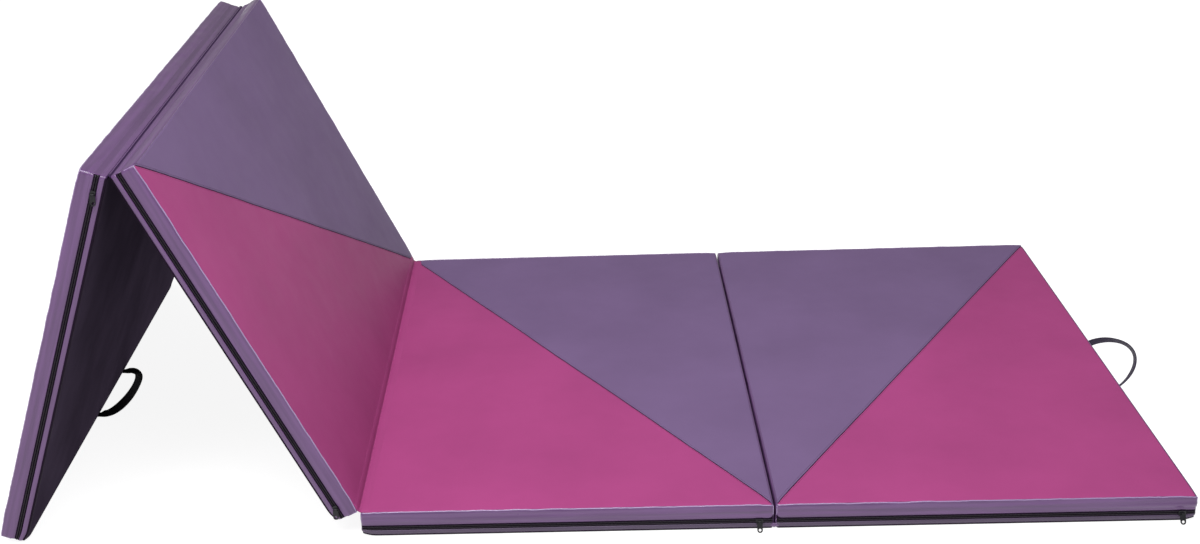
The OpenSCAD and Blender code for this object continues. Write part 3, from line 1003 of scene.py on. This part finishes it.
def handle_path(side, tilt):
    """The loop's pivot, then its middle line: distance out, place across, angle round the hoop."""
    _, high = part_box(f"handle_{side}_loop")
    pivot = Vector(joints[f"handle_{side}_swing"]["pos_m"])
    reach = (high.x - pivot.x - STRAP_W / 2 * math.sin(tilt)) / math.cos(tilt) - STRAP_T / 2
    tail = np.linspace(0, HOOP_X, 10)[:-1]
    turn = np.linspace(0, math.pi, 61)
    out = np.concatenate([tail, HOOP_X + (reach - HOOP_X) * np.sin(turn), tail[::-1]])
    across = np.concatenate([tail * 0 - PATCH_Y, -PATCH_Y * np.cos(turn), tail * 0 + PATCH_Y])
    angle = np.concatenate([tail * 0, turn, tail * 0 + math.pi])
    return pivot, out, across, angle


def make_right_handle():
    """The loop rises from the hem. It is flat where it starts and then turns on its edge."""
    tilt = RIGHT_TILT
    pivot, out, across, angle = handle_path("right", tilt)
    path = np.stack([pivot.x + out * math.cos(tilt), across, pivot.z + out * math.sin(tilt)], 1)
    path[:, 2] += RIGHT_WAVE * np.sin(angle) * np.sin(2 * angle)
    stand = np.array([-math.sin(tilt), 0, math.cos(tilt)])
    flat = np.cross(stand, unit(np.gradient(path, axis=0)))
    standing = smooth((np.degrees(angle) - TWIST_FROM) / TWIST_OVER)
    clear_of_floor = smooth((out - ROLL_RIGHT[0]) / ROLL_RIGHT[1])
    roll = np.radians((RIGHT_ROLL + RIGHT_TWIST * standing) * clear_of_floor)[:, None]
    ribbon("right", path, -np.cos(roll) * flat + np.sin(roll) * stand, WEBBING)


def make_left_handle():
    """The loop rests on the floor inside the tent, and twists flat towards its far end. Its webbing is
    a near-black copy of the right loop's: painted shade.
    """
    tilt = LEFT_TILT
    pivot, out, across, angle = handle_path("left", tilt)
    rise = smooth(out / HOOP_X)
    quarters = angle / (math.pi / 2)
    near, middle, far = LEFT_LEANS
    lean = np.radians(np.where(quarters < 1, near + (middle - near) * smooth(quarters),
                               middle + (far - middle) * smooth(quarters - 1)))
    on_floor = STRAP_W / 2 * np.sqrt(np.sin(lean) ** 2 + 0.03) + STRAP_T
    height = pivot.z + (on_floor - pivot.z) * rise + LEFT_RISE * np.maximum(out - HOOP_X, 0)
    path = np.stack([pivot.x + out * math.cos(tilt * 0.8), across, height], 1)
    flat = unit(np.cross(UP, np.gradient(path, axis=0)))
    roll = (lean * smooth((out - ROLL_LEFT[0]) / ROLL_LEFT[1]))[:, None]
    ribbon("left", path, np.cos(roll) * flat + np.sin(roll) * UP, WEBBING_SHADED)


PATCH_HALF_W, PATCH_LOW, PATCH_HIGH = 0.0145, 0.0125, 0.0335  # the box of thread on a patch
PATCH_PITCH = 0.0038


def make_patch_stitches(n, face_x, side):
    """Thread round each patch that holds a handle's end, and across it."""
    starts, ways = [], []
    low, high = PATCH_LOW, PATCH_HIGH

    def line(y0, z0, y1, z1):
        length = math.hypot(y1 - y0, z1 - z0)
        count = max(2, int(length / PATCH_PITCH))
        for t in (np.arange(count) + 0.5) / count:
            starts.append((face_x, y0 + (y1 - y0) * t, z0 + (z1 - z0) * t))
            ways.append((0, (y1 - y0) / length, (z1 - z0) / length))

    for middle in (-PATCH_Y, PATCH_Y):
        a, b = middle - PATCH_HALF_W, middle + PATCH_HALF_W
        for ends in ((a, low, b, low), (b, low, b, high), (b, high, a, high), (a, high, a, low),
                     (a, low, b, high), (a, high, b, low)):
            line(*ends)
    normals = [np.array([side, 0.0, 0.0])] * len(starts)
    verts, faces = dashes(np.array(starts), np.array(ways), normals)
    obj = add_mesh(f"panel_{n}_patch_stitches", verts, faces, THREAD, PLACE[n])
    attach(obj, f"panel_{n}")


for n in (1, 2, 3, 4):
    body = f"panel_{n}"
    for piece in (*make_tops(n), make_wall(n), make_underside(n)):
        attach(piece, body)
    for piece in (make_piping(n), make_seam(n), *make_zip(n)):
        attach(piece, body)
    for part in ("slider", "pull"):
        frame["nodes"][f"panel_{n}_zipper_{part}"].data.materials[0] = METAL
for name, mat in (("hinge_welt_1_2", BAND), ("hinge_welt_2_3", PINK), ("hinge_welt_3_4", BAND),
                  ("handle_left_patches", BAND), ("handle_right_patches", BAND)):
    frame["nodes"][name].data.materials[0] = mat
make_top_hinge()
# the valley between panels 1 and 2 gets the dark purple sheet: painted shade
make_bottom_hinge(1, 2, TUCKED_END, CREASE_SHADE)
make_bottom_hinge(3, 4, BAND_END, BAND)
make_right_handle()
make_left_handle()
make_patch_stitches(1, X0 - PATCH_T, -1)
make_patch_stitches(4, X1 + PATCH_T, 1)

# ---------------- stage, light and camera
WHITE = (1, 1, 1, 1)
FLOOR_GREY, FLOOR_GLOW, FLOOR_DROP = 0.28, 0.90, 0.0004
WORLD_STRENGTH = 0.34
SUN_WAY, SUN_STRENGTH, SUN_SPREAD = (0.26, 0.38, -0.88), 1.0, 35
SOFTBOX, SOFTBOX_AIM, SOFTBOX_POWER = Vector((-0.35, -1.7, 3.0)), Vector((0.0, 0.0, 0.1)), 97

floor_mesh = bpy.data.meshes.new("floor")
half = 30.0
floor_mesh.from_pydata([(-half, -half, 0), (half, -half, 0), (half, half, 0), (-half, half, 0)],
                       [], [(0, 1, 2, 3)])
floor = bpy.data.objects.new("floor", floor_mesh)
floor.location.z = -FLOOR_DROP
scene.collection.objects.link(floor)
floor_mat, _, floor_shader, _ = new_material("floor_pale")
fill(floor_shader, Base_Color=(FLOOR_GREY, FLOOR_GREY, FLOOR_GREY, 1), Emission_Color=WHITE,
     Emission_Strength=FLOOR_GLOW, Roughness=0.9, Specular_IOR_Level=0.1)
floor_mesh.materials.append(floor_mat)

world = bpy.data.worlds.new("studio")
scene.world = world
world.use_nodes = True
fill(world.node_tree.nodes["Background"], Color=WHITE, Strength=WORLD_STRENGTH)


def add_light(name, kind, place, direction, energy, **settings):
    """A light at a place, shining along a direction."""
    data = bpy.data.lights.new(name, kind)
    data.energy = energy
    for key, value in settings.items():
        setattr(data, key, value)
    obj = bpy.data.objects.new(name, data)
    scene.collection.objects.link(obj)
    obj.location = place
    obj.rotation_euler = direction.to_track_quat("-Z", "Y").to_euler()


add_light("key", "SUN", (0, 0, 0), Vector(SUN_WAY), SUN_STRENGTH, angle=math.radians(SUN_SPREAD))
add_light("softbox", "AREA", SOFTBOX, SOFTBOX_AIM - SOFTBOX, SOFTBOX_POWER, shape="RECTANGLE",
          size=2.6, size_y=1.4)

# the fitted camera: lens in mm, turn in radians, and the near end of the hinge between panels 3
# and 4 as the camera sees it, in metres to the right, down and away
LENS, SENSOR_W, SHIFT_X = 48.2355, 36.0, 0.0655833
VIEW_TURN = (1.96924, 0.03680, -0.02550)
VIEW_MOVE = Vector((0.46446, 0.47094, 2.94772))
turn = (Matrix.Rotation(VIEW_TURN[2], 3, "Z") @ Matrix.Rotation(VIEW_TURN[1], 3, "Y")
        @ Matrix.Rotation(VIEW_TURN[0], 3, "X"))
camera_data = bpy.data.cameras.new("camera")
camera_data.sensor_width = SENSOR_W
camera_data.lens = LENS
camera_data.shift_x = SHIFT_X
camera_data.clip_start = 0.05
camera_data.clip_end = 200
camera = bpy.data.objects.new("camera", camera_data)
scene.collection.objects.link(camera)
to_world = turn.transposed()
eye = Vector((FOLD_34.x, -HALF_W, 0)) - to_world @ VIEW_MOVE
flip = Matrix(((1, 0, 0), (0, -1, 0), (0, 0, -1)))
camera.matrix_world = Matrix.Translation(eye) @ (to_world @ flip).to_4x4()
scene.camera = camera
scene.view_settings.view_transform = "Standard"
scene.view_settings.look = "None"
